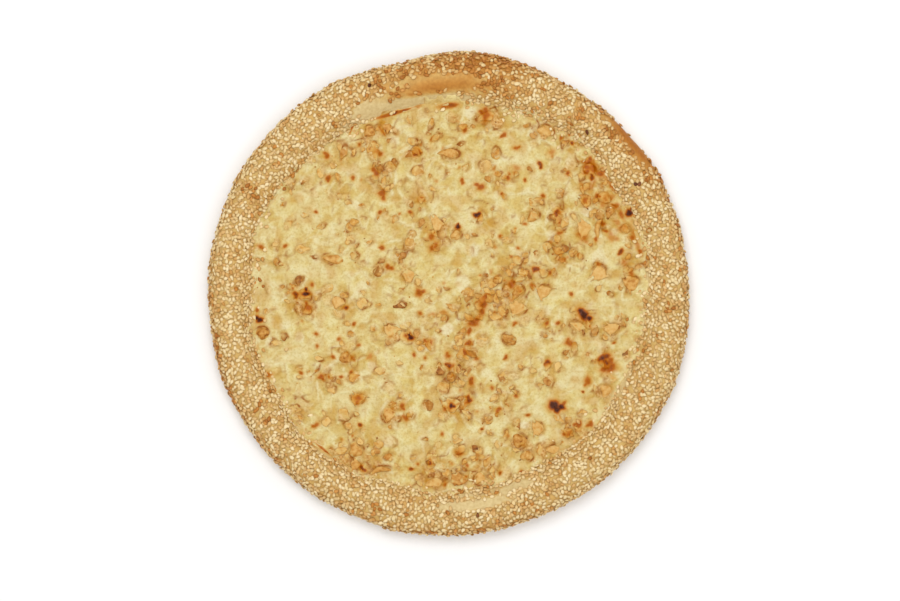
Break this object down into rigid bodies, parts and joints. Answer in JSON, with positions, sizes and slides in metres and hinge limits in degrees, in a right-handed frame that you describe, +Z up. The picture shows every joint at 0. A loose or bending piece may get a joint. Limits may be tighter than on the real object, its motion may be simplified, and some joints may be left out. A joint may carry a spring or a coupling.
{
  "type": "hazelnut and sesame pizza",
  "caption": "Round flat baked pizza with a puffed sesame rim, melted cheese and toasted hazelnut pieces; whole, uncut food that lies flat.",
  "frame": {"origin": "middle of the flat underside, where the pizza rests", "axes": "+Z up out of the cheese, +Y towards the side with the darkest rim, +X to the right when seen from above"},
  "size_m": [0.3164, 0.3189, 0.0249],
  "materials": {
    "crust": "golden baked bread dough with sesame seeds, matte",
    "cheese": "pale melted cheese with browned spots, slightly greasy",
    "hazelnut": "toasted skinned hazelnut, matte"
  },
  "bodies": {
    "root": {"crust": "crust", "cheese": "cheese", "hazelnut_01": "hazelnut", "hazelnut_02": "hazelnut", "hazelnut_03": "hazelnut", "hazelnut_04": "hazelnut", "hazelnut_05": "hazelnut", "hazelnut_06": "hazelnut", "hazelnut_07": "hazelnut", "hazelnut_08": "hazelnut", "hazelnut_09": "hazelnut", "hazelnut_10": "hazelnut", "hazelnut_11": "hazelnut", "hazelnut_12": "hazelnut", "hazelnut_13": "hazelnut", "hazelnut_14": "hazelnut", "hazelnut_15": "hazelnut", "hazelnut_16": "hazelnut", "hazelnut_17": "hazelnut", "hazelnut_18": "hazelnut", "hazelnut_19": "hazelnut", "hazelnut_20": "hazelnut", "hazelnut_21": "hazelnut", "hazelnut_22": "hazelnut", "hazelnut_23": "hazelnut", "hazelnut_24": "hazelnut", "hazelnut_25": "hazelnut", "hazelnut_26": "hazelnut", "hazelnut_27": "hazelnut", "hazelnut_28": "hazelnut", "hazelnut_29": "hazelnut", "hazelnut_30": "hazelnut", "hazelnut_31": "hazelnut", "hazelnut_32": "hazelnut", "hazelnut_33": "hazelnut", "hazelnut_34": "hazelnut", "hazelnut_35": "hazelnut", "hazelnut_36": "hazelnut", "hazelnut_37": "hazelnut", "hazelnut_38": "hazelnut", "hazelnut_39": "hazelnut", "hazelnut_40": "hazelnut", "hazelnut_41": "hazelnut", "hazelnut_42": "hazelnut", "hazelnut_43": "hazelnut", "hazelnut_44": "hazelnut", "hazelnut_45": "hazelnut"}
  },
  "joints": []
}
